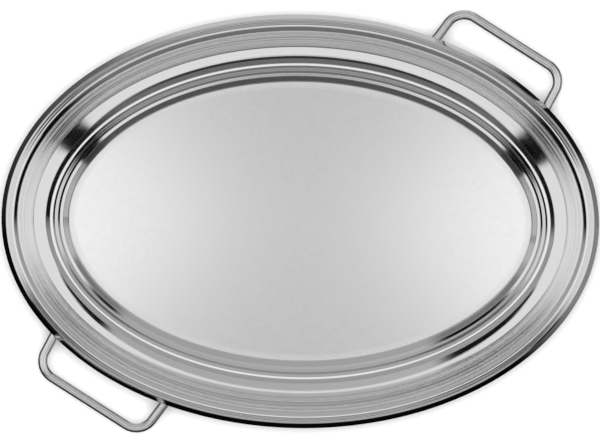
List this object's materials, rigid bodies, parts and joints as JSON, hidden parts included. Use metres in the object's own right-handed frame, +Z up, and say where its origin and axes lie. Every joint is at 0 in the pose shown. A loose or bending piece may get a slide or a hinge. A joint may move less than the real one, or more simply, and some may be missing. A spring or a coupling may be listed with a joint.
{
  "type": "serving tray",
  "caption": "Oval stainless-steel serving tray with a stepped, ribbed rim and round-wire carrying handles on opposite diagonals.",
  "frame": {"origin": "middle of the underside of the flat floor, which is the resting face", "axes": "+X along the long axis of the oval, +Y along the short axis, +Z up out of the tray; the handles lie on the +X+Y and -X-Y diagonals"},
  "size_m": [0.5198, 0.3724, 0.0289],
  "materials": {
    "polished_sheet": "mirror-polished stainless sheet, bare metal",
    "polished_wire": "polished stainless wire, fine drawing lines along it",
    "pressed_saddle": "satin pressed stainless strip with spot-weld marks"
  },
  "bodies": {
    "root": {"tray_pan": "polished_sheet", "handle_right": "polished_wire", "handle_left": "polished_wire", "saddle_right_inner": "pressed_saddle", "saddle_right_outer": "pressed_saddle", "saddle_left_inner": "pressed_saddle", "saddle_left_outer": "pressed_saddle"}
  },
  "joints": []
}
